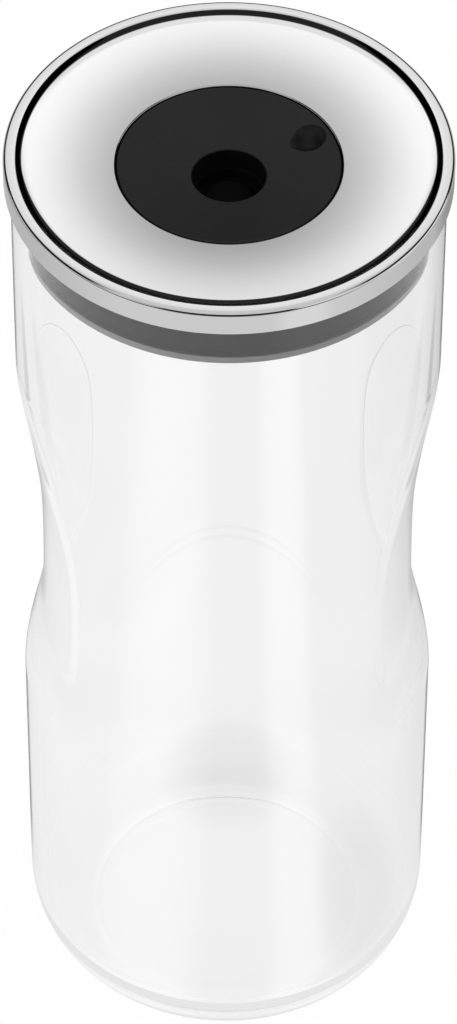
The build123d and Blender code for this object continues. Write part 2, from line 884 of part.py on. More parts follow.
def vent_spring():
    """Spring that lifts the vent stem against the cam."""
    length = vent_head_z - vent_head_thickness - vent_spring_z
    spring = coil(vent_spring_radius, vent_spring_wire, length, spring_turns)
    return at_azimuth(vent_place_radius, vent_azimuth, vent_spring_z) * spring


pieces = [
    glass_jar, lid_shell, bond_ring, lid_core, seal_ring, bottom_cover, cover_screws,
    filter_screen, filter_cap, vent_dial, dial_washer, snap_ring, hub_seal,
    check_poppet, poppet_seal, poppet_clip, poppet_spring,
    vent_pin, vent_seal, vent_clip, vent_spring,
]
os.makedirs("parts", exist_ok=True)
for piece in pieces:
    export_step(piece(), f"parts/{piece.__name__}.step")
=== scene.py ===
import json
import math

import bpy
from mathutils import Matrix, Vector
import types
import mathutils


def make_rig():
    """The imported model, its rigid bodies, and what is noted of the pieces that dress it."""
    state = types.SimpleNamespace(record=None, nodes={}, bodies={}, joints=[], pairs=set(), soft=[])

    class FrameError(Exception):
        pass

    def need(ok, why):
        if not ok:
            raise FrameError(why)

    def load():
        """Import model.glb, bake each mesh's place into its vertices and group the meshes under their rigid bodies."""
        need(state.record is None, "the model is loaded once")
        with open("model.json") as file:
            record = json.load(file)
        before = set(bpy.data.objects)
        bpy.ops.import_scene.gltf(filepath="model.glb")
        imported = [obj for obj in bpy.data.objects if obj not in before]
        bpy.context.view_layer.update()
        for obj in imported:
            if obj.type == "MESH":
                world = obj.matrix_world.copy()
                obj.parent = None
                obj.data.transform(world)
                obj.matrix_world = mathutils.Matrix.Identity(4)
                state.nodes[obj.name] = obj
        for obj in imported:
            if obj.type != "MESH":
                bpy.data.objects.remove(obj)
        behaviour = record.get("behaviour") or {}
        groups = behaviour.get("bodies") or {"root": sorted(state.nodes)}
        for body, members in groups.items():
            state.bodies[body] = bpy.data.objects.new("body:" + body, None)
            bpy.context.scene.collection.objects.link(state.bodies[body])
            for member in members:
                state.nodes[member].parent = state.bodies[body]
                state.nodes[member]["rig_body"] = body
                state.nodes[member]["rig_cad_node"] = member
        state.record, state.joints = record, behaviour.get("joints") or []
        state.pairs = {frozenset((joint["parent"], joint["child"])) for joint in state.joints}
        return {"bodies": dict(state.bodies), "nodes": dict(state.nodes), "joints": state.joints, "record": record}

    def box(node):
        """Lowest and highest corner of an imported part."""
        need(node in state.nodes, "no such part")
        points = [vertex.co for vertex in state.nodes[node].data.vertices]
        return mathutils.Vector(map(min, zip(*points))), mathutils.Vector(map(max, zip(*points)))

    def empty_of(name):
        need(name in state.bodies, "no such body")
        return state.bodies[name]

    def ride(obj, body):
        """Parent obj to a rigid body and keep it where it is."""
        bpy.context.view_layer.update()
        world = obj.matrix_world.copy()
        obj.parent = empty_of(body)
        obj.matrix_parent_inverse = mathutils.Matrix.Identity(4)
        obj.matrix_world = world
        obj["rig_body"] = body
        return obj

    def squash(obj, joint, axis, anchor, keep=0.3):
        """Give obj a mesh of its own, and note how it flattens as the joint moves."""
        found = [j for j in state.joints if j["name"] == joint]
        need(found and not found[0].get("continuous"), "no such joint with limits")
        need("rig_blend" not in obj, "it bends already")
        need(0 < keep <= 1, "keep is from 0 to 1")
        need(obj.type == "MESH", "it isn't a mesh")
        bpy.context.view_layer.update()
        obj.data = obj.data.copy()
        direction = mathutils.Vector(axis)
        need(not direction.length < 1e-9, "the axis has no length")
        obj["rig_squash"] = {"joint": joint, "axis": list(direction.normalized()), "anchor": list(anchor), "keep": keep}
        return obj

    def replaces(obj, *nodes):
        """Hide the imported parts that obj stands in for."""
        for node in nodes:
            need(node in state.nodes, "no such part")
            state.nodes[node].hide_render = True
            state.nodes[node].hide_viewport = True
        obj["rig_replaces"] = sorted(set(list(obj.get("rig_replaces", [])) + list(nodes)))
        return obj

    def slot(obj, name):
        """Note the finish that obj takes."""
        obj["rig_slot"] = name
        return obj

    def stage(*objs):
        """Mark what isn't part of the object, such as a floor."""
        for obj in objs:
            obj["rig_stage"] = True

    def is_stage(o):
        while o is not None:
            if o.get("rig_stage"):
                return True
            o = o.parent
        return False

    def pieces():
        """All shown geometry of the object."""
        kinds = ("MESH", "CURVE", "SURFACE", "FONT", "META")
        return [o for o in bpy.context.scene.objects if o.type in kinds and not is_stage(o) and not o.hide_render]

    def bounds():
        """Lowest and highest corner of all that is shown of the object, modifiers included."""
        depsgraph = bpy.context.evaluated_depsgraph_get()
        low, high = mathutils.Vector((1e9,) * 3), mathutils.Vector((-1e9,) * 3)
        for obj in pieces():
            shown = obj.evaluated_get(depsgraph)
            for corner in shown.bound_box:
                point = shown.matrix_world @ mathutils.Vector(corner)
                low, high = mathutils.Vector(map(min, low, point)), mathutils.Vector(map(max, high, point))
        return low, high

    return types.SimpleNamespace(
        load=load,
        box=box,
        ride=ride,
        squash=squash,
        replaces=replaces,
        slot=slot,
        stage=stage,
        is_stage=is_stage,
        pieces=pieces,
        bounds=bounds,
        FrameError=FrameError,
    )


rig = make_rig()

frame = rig.load()
cad_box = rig.bounds()
parts = frame["nodes"]

# Units and resolution of the turned pieces
mm = 0.001
turn_steps = 256
arc_step = math.radians(5)
hold = 0.05 * mm
on_axis = 1e-6 * mm
sharp_edge = math.radians(32)
jar_sharp_edge = math.radians(60)

# Sizes read from the frame
jar_low, jar_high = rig.box("glass_jar")
shell_low, shell_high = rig.box("lid_shell")
dial_low, dial_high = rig.box("vent_dial")
jar_radius = jar_high.x
jar_height = jar_high.z
lid_radius = (shell_high.x - shell_low.x) / 2
lid_top = shell_high.z
dial_radius = (dial_high.x - dial_low.x) / 2

# Travel of both valves, and what their springs yield beyond it
valve_travel = 1.5 * mm
spring_clearance = 0.02 * mm

# Glass wall, base and grips of the jar
wall = 3.6 * mm
heel_width = 15.8 * mm
heel_height = 20.5 * mm
foot_flat = 1.4 * mm
foot_step_width = 2.6 * mm
foot_step_height = 1.1 * mm
push_up = 2.8 * mm
inner_heel_width = 13.5 * mm
inner_heel_height = 15.0 * mm
floor_rise = 0.8 * mm
base_thickness = 4.4 * mm
lip_round = 1.5 * mm
foot_lead_share = 0.12
foot_edge_share = 0.20

# Rows of points up the jar's surfaces
dome_steps = 16
heel_steps = 28
wall_steps = 190
lip_steps = 8

# Grip recesses of the jar
grip_depth = 5.6 * mm
grip_plan_radius = 81.0 * mm
grip_bottom = 101.5 * mm
grip_length = 110.5 * mm
crisp_crease = 0.12 * mm
soft_crease = 0.7 * mm
crisp_crease_share = 0.45
soft_crease_share = 0.10
least_crease = math.radians(8)
crease_columns = 36
# (height along the recess, depth) at points up the middle of a recess
grip_shares = [
    (-0.090, -0.42),
    (0.000, 0.00),
    (0.115, 0.50),
    (0.230, 0.88),
    (0.420, 1.00),
    (0.620, 0.94),
    (0.790, 0.62),
    (0.925, 0.25),
    (1.000, 0.00),
    (1.080, -0.30),
]

# Steel shell of the lid
steel = 0.7 * mm
rim_round = 1.1 * mm
rim_land = 2.8 * mm
cove_depth = 1.2 * mm
cove_width = 1.9 * mm
cove_round = 5.5 * mm
dish_fall = 2.2 * mm
collar_depth = 2.1 * mm
collar_round = 0.5 * mm
edge_round = 0.2 * mm
dial_gap = 0.3 * mm

# Dial: its socket and its dimple
socket_radius = 8.9 * mm
socket_edge = 0.4 * mm
dimple_place = (18.9 * mm, 9.9 * mm)
dimple_radius = 4.6 * mm

# Finish of the glass: its tint, its painted dark edges and painted dark crease lines that stand in for dark refraction,
# and how often light may be mirrored or turned in it before it passes straight on
glass_tints = (0.985, 0.990)
painted_edge_tone = 0.05
painted_edge_share = 0.7
edge_start = 0.895
edge_full = 0.955
painted_crease_share = 0.6
painted_crease_width = 0.3 * mm
caught_turns = 2.5
caught_depth = 8.5
# (share of the jar's height, strength of the painted dark edges there)
painted_edge_strengths = [(0.09, 0.0), (0.16, 1.0), (0.37, 1.0), (0.42, 0.3), (0.74, 0.3), (0.82, 1.0)]

# Finish of the lid: tones and roughness from and to, and the painted shade in the socket and in the dimple
silicone_tones = (0.002, 0.006)
silicone_gloss = (0.40, 0.50)
dial_tones = (0.0075, 0.0090)
dial_gloss = (0.45, 0.55)
steel_gloss = (0.04, 0.07)
socket_painted_light = 0.2
dimple_painted_shade = -0.95
# (share of the way from the dial's edge to the rim's, tone of the steel): a painted grey reflection falloff towards the
# dial, and a painted dark reflection in the cove
steel_painted_reflection_tones = [
    (0.000, 0.49),
    (0.100, 0.53),
    (0.300, 0.65),
    (0.500, 0.81),
    (0.650, 0.91),
    (0.770, 0.96),
    (0.833, 0.92),
    (0.840, 0.02),
    (0.883, 0.02),
    (0.890, 0.82),
    (1.000, 0.66),
]

# Scales of the noise in the finishes, and relief of the grain and of the drawing marks
drift_scale = 60.0
gloss_scale = 900.0
black_grain_scale = 1600.0
drawing_scale = 700.0
polish_scale = 260.0
streak_scale = 20.0
glass_scale = 12.0
floor_scale = 2.0
grain_strength = 0.25
grain_depth = 0.05 * mm
drawing_strength = 0.1
drawing_depth = 0.02 * mm

# Camera of the photograph: how far down it looks, its place, roll and lens
view_angle = math.radians(47.1)
camera_place = (0.22 * mm, -1045.7 * mm, 1278.7 * mm)
camera_roll = math.radians(0.24)
camera_clip = 10 * mm
focal_pixels = 6060
image_height = 1024
sensor_width = 36

# Studio
floor_size = 6.0
floor_tones = (0.78, 0.82)
floor_glow = 0.9
world_dark = 0.02
world_through_glass = 0.8
world_on_dull = 0.55
back_fall = 4.0
least_depth = 0.05
# Azimuth, elevation, half width, low edge, high edge, softness of a bright panel
back_panel = (0, view_angle, 0.66, -0.30, 0.40, 0.02)
# The same of the other panels, and how bright each is
other_panels = [
    (0, math.radians(90), 0.66, -0.55, 0.38, 0.02, 0.8),
    (math.pi, view_angle, 1.20, -0.40, 0.40, 0.02, 0.8),
    (math.radians(105), 0, 1.00, -0.50, 0.45, 0.12, 1.0),
    (math.radians(-105), 0, 1.00, 0.00, 0.30, 0.12, 0.9),
]
# Name, place, size and power of the lamps
softboxes = [
    ("softbox_left", (-0.9, -0.5, 1.1), (0.8, 0.8), 12),
    ("softbox_right", (0.9, 0.2, 1.0), (0.5, 0.9), 8),
]


# Mesh helpers
def rounded(corners):
    """Closed outline through (radius, height, rounding) corners, its arcs filled in with points."""
    points = []
    count = len(corners)
    for i, (radius, height, size) in enumerate(corners):
        here = Vector((radius, height))
        if size == 0:
            points.append(here)
            continue
        before = (Vector(corners[i - 1][:2]) - here).normalized()
        after = (Vector(corners[(i + 1) % count][:2]) - here).normalized()
        half = before.angle(after) / 2
        reach = size / math.tan(half)
        start, end = here + before * reach, here + after * reach
        middle = here + (before + after).normalized() * size / math.sin(half)
        first, last = start - middle, end - middle
        sweep = first.angle(last)
        steps = max(3, math.ceil(sweep / arc_step))
        points.append(start + before * hold)
        for k in range(steps + 1):
            share = k / steps
            weights = (math.sin((1 - share) * sweep), math.sin(share * sweep))
            points.append(middle + (first * weights[0] + last * weights[1]) / math.sin(sweep))
        points.append(end + after * hold)
    return [(point.x, point.y) for point in points]


def mesh_object(name, vertices, faces, material, sharp=sharp_edge):
    """Smooth-shaded mesh object with its sharp edges marked."""
    mesh = bpy.data.meshes.new(name)
    mesh.from_pydata(vertices, [], faces)
    mesh.validate()
    mesh.shade_smooth()
    mesh.set_sharp_from_angle(angle=sharp)
    mesh.materials.append(material)
    piece = bpy.data.objects.new(name, mesh)
    bpy.context.scene.collection.objects.link(piece)
    return piece


def woven(rows, closed):
    """Vertices and faces of a skin over rows of points; a row of one point is a pole."""
    vertices, starts = [], []
    for row in rows:
        starts.append(len(vertices))
        vertices.extend(row)
    faces = []
    pairs = list(zip(range(len(rows)), range(1, len(rows))))
    if closed:
        pairs.append((len(rows) - 1, 0))
    for low, high in pairs:
        a, b = starts[low], starts[high]
        wide = max(len(rows[low]), len(rows[high]))
        for j in range(wide):
            k = (j + 1) % wide
            if len(rows[low]) == 1:
                faces.append((a, b + k, b + j))
            elif len(rows[high]) == 1:
                faces.append((a + j, a + k, b))
            else:
                faces.append((a + j, a + k, b + k, b + j))
    return vertices, faces


def turned(name, outline, material, closed=True):
    """Piece turned about the canister's axis from (radius, height) points."""
    rows = []
    for radius, height in outline:
        if radius < on_axis:
            rows.append([(0, 0, height)])
            continue
        angles = [2 * math.pi * j / turn_steps for j in range(turn_steps)]
        rows.append([(radius * math.cos(a), radius * math.sin(a), height) for a in angles])
    vertices, faces = woven(rows, closed)
    return mesh_object(name, vertices, faces, material)


# Shader helpers
class Nodes:
    """Node tree with short calls for the nodes used here."""

    def __init__(self, tree):
        self.tree = tree

    def add(self, kind, **settings):
        node = self.tree.nodes.new(kind)
        for key, value in settings.items():
            setattr(node, key, value)
        return node

    def link(self, source, target):
        self.tree.links.new(source, target)

    def feed(self, sockets, values):
        """Each value, a number, a vector or another node's output, into its socket."""
        for socket, value in zip(sockets, values):
            if isinstance(value, bpy.types.NodeSocket):
                self.link(value, socket)
            elif value is not None:
                socket.default_value = value

    def math(self, operation, *values):
        node = self.add("ShaderNodeMath", operation=operation)
        self.feed(node.inputs, values)
        return node.outputs[0]

    def dot(self, vector, along):
        node = self.add("ShaderNodeVectorMath", operation="DOT_PRODUCT")
        self.feed(node.inputs, (vector, along))
        return node.outputs["Value"]

    def blend(self, factor, first, second):
        """Colour between two colours."""
        node = self.add("ShaderNodeMix", data_type="RGBA")
        self.feed((node.inputs["Factor"], node.inputs["A"], node.inputs["B"]), (factor, first, second))
        return node.outputs["Result"]

    def split(self, vector):
        node = self.add("ShaderNodeSeparateXYZ")
        self.link(vector, node.inputs[0])
        return node.outputs

    def noise(self, vector, scale, detail=2.0, stretch=(1, 1, 1)):
        mapping = self.add("ShaderNodeMapping")
        self.feed((mapping.inputs["Vector"], mapping.inputs["Scale"]), (vector, stretch))
        node = self.add("ShaderNodeTexNoise")
        self.feed((node.inputs["Vector"], node.inputs["Scale"], node.inputs["Detail"]),
                  (mapping.outputs["Vector"], scale, detail))
        return node.outputs["Fac"]

    def ramp(self, factor, stops):
        """Colour ramp with (position, grey or colour) stops."""
        node = self.add("ShaderNodeValToRGB")
        elements = node.color_ramp.elements
        while len(elements) < len(stops):
            elements.new(0.5)
        for element, (position, colour) in zip(elements, stops):
            element.position = position
            element.color = (*grey(colour), 1)
        self.link(factor, node.inputs["Fac"])
        return node.outputs["Color"]

    def spread(self, value, low, high, new_low=0.0, new_high=1.0, smooth=False):
        """Value mapped from one range to another, held at the ends."""
        node = self.add("ShaderNodeMapRange", interpolation_type="SMOOTHSTEP" if smooth else "LINEAR")
        self.feed(node.inputs[:5], (value, low, high, new_low, new_high))
        return node.outputs["Result"]

    def drift(self, noise, low, high, width=0.4):
        """Colour that drifts between two as a noise passes its middle, over so much of it."""
        return self.ramp(noise, [(0.5 - width / 2, low), (0.5 + width / 2, high)])

    def uneven(self, noise, low, high):
        """Number that varies between two with a noise."""
        return self.spread(noise, 0.3, 0.7, low, high)

    def rays(self, *kinds):
        """1 for light paths of any of the kinds."""
        path = self.add("ShaderNodeLightPath")
        total = path.outputs[kinds[0]]
        for kind in kinds[1:]:
            total = self.math("MAXIMUM", total, path.outputs[kind])
        return total

    def patch(self, x, y, centre, reach, gain):
        """Soft oval patch: gain at its centre, 0 at its edge."""
        parts = [self.math("DIVIDE", self.math("SUBTRACT", value, middle), span)
                 for value, middle, span in zip((x, y), centre, reach)]
        squares = [self.math("MULTIPLY", part, part) for part in parts]
        return self.spread(self.math("ADD", *squares), 0, 1, gain, 0, smooth=True)

    def through_glass(self):
        """1 for light that has been through glass."""
        path = self.add("ShaderNodeLightPath")
        return self.math("GREATER_THAN", path.outputs["Transmission Depth"], 0.5)


class Shader(Nodes):
    """Node tree of a new material."""

    def __init__(self, name):
        self.material = bpy.data.materials.new(name)
        self.material.use_nodes = True
        super().__init__(self.material.node_tree)
        self.surface = self.tree.nodes["Principled BSDF"]
        self.output = self.tree.nodes["Material Output"]
        self.place = self.add("ShaderNodeTexCoord").outputs["Object"]

    def radius(self):
        """Distance from the canister's axis."""
        squares = [self.math("MULTIPLY", value, value) for value in self.split(self.place)[:2]]
        return self.math("SQRT", self.math("ADD", *squares))

    def bump(self, height, strength, distance):
        node = self.add("ShaderNodeBump")
        self.feed((node.inputs["Strength"], node.inputs["Distance"], node.inputs["Height"]),
                  (strength, distance, height))
        self.link(node.outputs["Normal"], self.surface.inputs["Normal"])

    def set(self, **values):
        names = {
            "colour": "Base Color", "rough": "Roughness", "metal": "Metallic", "ior": "IOR",
            "clear": "Transmission Weight", "specular": "Specular IOR Level",
        }
        self.feed([self.surface.inputs[names[key]] for key in values], values.values())


def grey(colour):
    """Colour as three channels."""
    return (colour, colour, colour) if isinstance(colour, (int, float)) else colour


def moulded(name, colour, variation, rough, grain, specular=0.5):
    """Moulded plastic or rubber: faint colour drift, fine grain and uneven gloss."""
    shader = Shader(name)
    low = tuple(channel * (1 - variation) for channel in colour)
    high = tuple(channel * (1 + variation) for channel in colour)
    cloud = shader.noise(shader.place, drift_scale, 3.0)
    gloss = shader.noise(shader.place, gloss_scale)
    shader.set(
        colour=shader.drift(cloud, low, high, 0.3),
        rough=shader.uneven(gloss, rough - 0.05, rough + 0.05),
        specular=specular,
    )
    shader.bump(shader.noise(shader.place, grain), grain_strength, grain_depth)
    return shader.material


def plain_metal(name, tone, rough):
    """Bare metal of small parts, with fine drawing marks."""
    shader = Shader(name)
    marks = shader.noise(shader.place, drawing_scale, 4.0, (1, 1, 6))
    shader.set(
        metal=1.0,
        colour=shader.drift(marks, tone * 0.85, tone),
        rough=shader.uneven(marks, rough - 0.08, rough + 0.08),
    )
    shader.bump(marks, drawing_strength, drawing_depth)
    return shader.material


def polished_steel():
    """Mirror steel of the lid with painted reflection in its colour: a painted grey falloff towards the dial, greyer
    round the skirt, and a painted dark reflection in the cove.
    """
    shader = Shader("polished_steel")
    # Painted reflection: the steel's colour greys towards the dial and turns black in the cove.
    across = shader.ramp(shader.spread(shader.radius(), dial_radius, lid_radius), steel_painted_reflection_tones)
    marks = shader.noise(shader.place, polish_scale, 4.0)
    shader.set(metal=1.0, colour=across, rough=shader.uneven(marks, *steel_gloss))
    return shader.material


def clear_glass():
    """Clear glass with painted thin dark edges and painted dark crease lines. Shadow rays and long-caught light pass
    straight through.
    """
    shader = Shader("clear_glass")
    tint = shader.drift(shader.noise(shader.place, glass_scale), *glass_tints)
    shader.set(clear=1.0, rough=0.0, ior=1.5, colour=tint)
    path = shader.add("ShaderNodeLightPath")
    camera_ray = path.outputs["Is Camera Ray"]
    facing = shader.add("ShaderNodeLayerWeight").outputs["Facing"]
    height = shader.spread(shader.split(shader.place)[2], 0, jar_height)
    # Painted shade: a dark see-through tint mixed in at grazing edges and along the marked creases stands in for dark
    # refraction.
    rim = shader.spread(facing, edge_start, edge_full, 0, painted_edge_share)
    rim = shader.math("MULTIPLY", rim, camera_ray)
    rim = shader.math("MULTIPLY", rim, shader.ramp(height, painted_edge_strengths))
    mark = shader.add("ShaderNodeAttribute", attribute_name="crease").outputs["Fac"]
    mark = shader.math("MULTIPLY", mark, shader.spread(camera_ray, 0, 1, painted_crease_share, 0))
    rim = shader.math("MAXIMUM", rim, mark)
    dark = shader.add("ShaderNodeBsdfTransparent")
    dark.inputs["Color"].default_value = (*grey(painted_edge_tone), 1)
    edged = shader.add("ShaderNodeMixShader")
    shader.feed(edged.inputs, (rim, shader.surface.outputs[0], dark.outputs[0]))
    caught = shader.math("MAXIMUM",
                         shader.math("GREATER_THAN", path.outputs["Glossy Depth"], caught_turns),
                         shader.math("GREATER_THAN", path.outputs["Ray Depth"], caught_depth))
    straight = shader.math("MAXIMUM", path.outputs["Is Shadow Ray"], caught)
    see_through = shader.add("ShaderNodeBsdfTransparent")
    mix = shader.add("ShaderNodeMixShader")
    shader.feed(mix.inputs, (straight, edged.outputs[0], see_through.outputs[0]))
    shader.link(mix.outputs[0], shader.output.inputs["Surface"])
    return shader.material


def smoke_silicone():
    """Smoky silicone with fine turned streaks round it."""
    shader = Shader("smoke_silicone")
    streaks = shader.noise(shader.place, streak_scale, 1.0, (1, 1, 40))
    shader.set(
        colour=shader.drift(streaks, *silicone_tones),
        rough=shader.uneven(streaks, *silicone_gloss),
        specular=0.12,
    )
    return shader.material


# Materials by slot
materials = {
    "clear_glass": clear_glass(),
    "polished_steel": polished_steel(),
    "adhesive": moulded("adhesive", (0.72, 0.70, 0.64), 0.05, 0.5, 400.0),
    "grey_moulding": moulded("grey_moulding", (0.19, 0.193, 0.197), 0.04, 0.45, 1200.0),
    "black_moulding": moulded(
        "black_moulding", (0.010, 0.010, 0.0105), 0.06, 0.5, black_grain_scale, 0.3),
    "white_moulding": moulded("white_moulding", (0.72, 0.72, 0.70), 0.03, 0.4, 900.0),
    "smoke_silicone": smoke_silicone(),
    "plain_steel": plain_metal("plain_steel", 0.6, 0.3),
}


def dial_black():
    """Black moulding of the dial, with painted shade that darkens its socket and its dimple."""
    shader = Shader("dial_black")
    grain = shader.noise(shader.place, black_grain_scale)
    x, y = shader.split(shader.place)[:2]
    # Painted shade: the colour darkens down the socket and in the dimple.
    face_start = socket_radius + socket_edge
    socket_painted_shade = shader.spread(shader.radius(), socket_radius, face_start, socket_painted_light, 1.0)
    dimple = shader.patch(x, y, dimple_place, (dimple_radius, dimple_radius), dimple_painted_shade)
    light = shader.math("MULTIPLY", socket_painted_shade, shader.math("ADD", 1.0, dimple))
    tone = shader.drift(shader.noise(shader.place, drift_scale, 3.0), *dial_tones, 0.3)
    shader.set(
        colour=shader.blend(light, (0, 0, 0, 1), tone),
        rough=shader.uneven(grain, *dial_gloss),
        specular=0.24,
    )
    shader.bump(grain, grain_strength, grain_depth)
    return shader.material


# CAD nodes with their finish; the parts seen down the socket get a near-black colour, darker than their slot, as
# painted shade
socket_shade_black = moulded("socket_shade_black", (0.003, 0.003, 0.003), 0.1, 0.8, black_grain_scale, 0.03)
socket_shaded_parts = ("check_poppet", "lid_core")
for entry in frame["record"]["subparts"]:
    node = parts[entry["node"]]
    node.data.materials.clear()
    node.data.materials.append(materials[entry["material_slot"]])
for name in socket_shaded_parts:
    parts[name].data.materials[0] = socket_shade_black
parts["vent_dial"].data.materials[0] = dial_black()


# Glass jar
def grip_depth_at(height):
    """Depth share of a grip recess at a height, smooth through the shape's points."""
    rise = (height - grip_bottom) / grip_length
    rises = [share[0] for share in grip_shares]
    if rise <= rises[0] or rise >= rises[-1]:
        return None
    i = max(k for k in range(len(rises) - 1) if rises[k] <= rise)

    def slope(k):
        k = min(max(k, 1), len(rises) - 2)
        run = grip_shares[k + 1][0] - grip_shares[k - 1][0]
        return (grip_shares[k + 1][1] - grip_shares[k - 1][1]) / run

    (x0, y0), (x1, y1) = grip_shares[i], grip_shares[i + 1]
    step = x1 - x0
    t = (rise - x0) / step
    ends = (2 * t ** 3 - 3 * t ** 2 + 1) * y0 + (3 * t ** 2 - 2 * t ** 3) * y1
    turns = (t ** 3 - 2 * t ** 2 + t) * slope(i) + (t ** 3 - t ** 2) * slope(i + 1)
    return ends + turns * step


def crease_blend(height):
    """How far the crease round a recess is blended: crisp above, soft at the lower end."""
    rise = (height - grip_bottom) / grip_length
    share = min(max((rise - soft_crease_share) / (crisp_crease_share - soft_crease_share), 0), 1)
    return soft_crease + (crisp_crease - soft_crease) * share * share * (3 - 2 * share)


def gripped_radius(radius, height, angle, inset):
    """Radius of a jar surface where the grip recesses may cut it."""
    depth = grip_depth_at(height)
    if depth is None:
        return radius
    middle = jar_radius - grip_depth - grip_plan_radius
    reach = grip_plan_radius - inset + (1 - depth) * grip_depth
    across = abs(math.cos(angle))
    bound = middle * across + math.sqrt(reach ** 2 - (middle * math.sin(angle)) ** 2)
    blend = crease_blend(height)
    apart = max(blend - abs(radius - bound), 0) / blend
    return min(radius, bound) - apart ** 2 * blend / 4


def crease_angle(radius, height, inset):
    """Angle from the middle of a recess to its crease, where a jar surface has one."""
    depth = grip_depth_at(height)
    if depth is None:
        return least_crease
    middle = jar_radius - grip_depth - grip_plan_radius
    reach = grip_plan_radius - inset + (1 - depth) * grip_depth
    share = (radius ** 2 + middle ** 2 - reach ** 2) / (2 * middle * radius)
    return max(math.acos(min(max(share, -1), 1)), least_crease)


def column_angles(radius, height, inset):
    """Angles round the jar of one row's points, drawn together at the creases."""
    crease = crease_angle(radius, height, inset)
    half = crease_columns
    quarter = [crease * (1 - (1 - k / half) ** 2) for k in range(half)]
    quarter += [crease + (math.pi / 2 - crease) * (k / half) ** 2 for k in range(half)]
    angles = quarter + [math.pi - angle for angle in [math.pi / 2, *quarter[:0:-1]]]
    return angles + [angle + math.pi for angle in angles]


def jar_outline():
    """(radius, height, inset) up the outside from the base's middle and down the inside."""
    foot_outer = jar_radius - heel_width
    foot_inner = foot_outer - foot_flat
    step_radius = foot_inner - foot_step_width
    bore = jar_radius - wall
    floor_z = push_up + base_thickness
    edge_z = floor_z - floor_rise
    flat_radius = bore - inner_heel_width
    rows = []
    for k in range(dome_steps + 1):
        share = k / dome_steps
        rows.append((share * step_radius, push_up - (push_up - foot_step_height) * share ** 2, 0))
    lead = foot_inner - foot_step_width * foot_lead_share
    rows.append((lead, foot_step_height * foot_lead_share, 0))
    rows.append((foot_inner + foot_flat * foot_edge_share, 0, 0))
    rows.append((foot_outer - foot_flat * foot_edge_share, 0, 0))
    for k in range(1, heel_steps + 1):
        a = math.pi / 2 * k / heel_steps
        rows.append((foot_outer + heel_width * math.sin(a), heel_height * (1 - math.cos(a)), 0))
    top = jar_height - lip_round
    for k in range(1, wall_steps + 1):
        rows.append((jar_radius, heel_height + (top - heel_height) * k / wall_steps, 0))
    for k in range(1, lip_steps + 1):
        a = math.pi / 2 * k / lip_steps
        rows.append((jar_radius - lip_round * (1 - math.cos(a)), top + lip_round * math.sin(a), 0))
    for k in range(lip_steps + 1):
        a = math.pi / 2 * (1 - k / lip_steps)
        rows.append((bore + lip_round * (1 - math.cos(a)), top + lip_round * math.sin(a), wall))
    heel_top = edge_z + inner_heel_height
    for k in range(1, wall_steps + 1):
        rows.append((bore, top - (top - heel_top) * k / wall_steps, wall))
    for k in range(1, heel_steps + 1):
        a = math.pi / 2 * (1 - k / heel_steps)
        radius = flat_radius + inner_heel_width * math.sin(a)
        rows.append((radius, heel_top - inner_heel_height * math.cos(a), wall))
    for k in range(1, dome_steps + 1):
        share = 1 - k / dome_steps
        rows.append((share * flat_radius, floor_z - floor_rise * share ** 2, wall))
    return rows


def glass_jar():
    """Jar whose wall is pressed in at both grips, inside and out."""
    rows = []
    marks = []
    for radius, height, inset in jar_outline():
        if radius < on_axis:
            rows.append([(0, 0, height)])
            marks.append(0)
            continue
        row = []
        crease = crease_angle(radius, height, inset)
        rise = min(max((height - grip_bottom) / grip_length, 0), 1)
        strength = 0 if inset or crease == least_crease else rise
        for angle in column_angles(radius, height, inset):
            here = gripped_radius(radius, height, angle, inset)
            row.append((here * math.cos(angle), here * math.sin(angle), height))
            from_side = math.acos(min(abs(math.cos(angle)), 1))
            marks.append(strength * max(1 - abs(from_side - crease) * radius / painted_crease_width, 0))
        rows.append(row)
    vertices, faces = woven(rows, False)
    jar = mesh_object("jar_glass", vertices, faces, materials["clear_glass"], jar_sharp_edge)
    # The crease layer marks where the glass gets painted dark crease lines.
    layer = jar.data.attributes.new("crease", "FLOAT", "POINT")
    layer.data.foreach_set("value", marks)
    return jar


# Lid
def lid_shell():
    """Spun steel cap: skirt, rounded rim, cove, shallow dish and collar."""
    inner_skirt = lid_radius - steel
    land = lid_radius - rim_land
    dish_rim = land - cove_width
    dish_rim_z = lid_top - cove_depth
    opening = dial_radius + dial_gap
    opening_z = dish_rim_z - dish_fall
    under = lid_top - steel
    inner_round = max(rim_round - steel, edge_round)
    outline = rounded([
        (lid_radius, shell_low.z, edge_round),
        (lid_radius, lid_top, rim_round),
        (land, lid_top, rim_round),
        (dish_rim, dish_rim_z, cove_round),
        (opening, opening_z, collar_round),
        (opening, opening_z - collar_depth, 0),
        (opening + steel, opening_z - collar_depth, 0),
        (opening + steel, opening_z - steel, edge_round),
        (dish_rim, dish_rim_z - steel, cove_round),
        (land + steel, under, inner_round),
        (inner_skirt, under, inner_round),
        (inner_skirt, shell_low.z, edge_round),
    ])
    return turned("steel_cap", outline, materials["polished_steel"])


def add_piece(piece, body, node, slot):
    """Piece that rides on a body and stands for a CAD node."""
    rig.ride(piece, body)
    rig.replaces(piece, node)
    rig.slot(piece, slot)


def valve_spring(node, joint, fixed_end):
    """Coil of a valve's spring, which shortens towards its fixed end as the valve moves."""
    piece = bpy.data.objects.new(node + "_coil", parts[node].data.copy())
    bpy.context.scene.collection.objects.link(piece)
    add_piece(piece, "lid", node, "plain_steel")
    low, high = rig.box(node)
    keep = 1 - (valve_travel + spring_clearance) / (high.z - low.z)
    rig.squash(piece, joint, axis=(0, 0, 1), anchor=(0, 0, fixed_end(low.z, high.z)), keep=keep)


add_piece(glass_jar(), "jar", "glass_jar", "clear_glass")
add_piece(lid_shell(), "lid", "lid_shell", "polished_steel")
valve_spring("poppet_spring", "check_lift", max)
valve_spring("vent_spring", "vent_press", min)


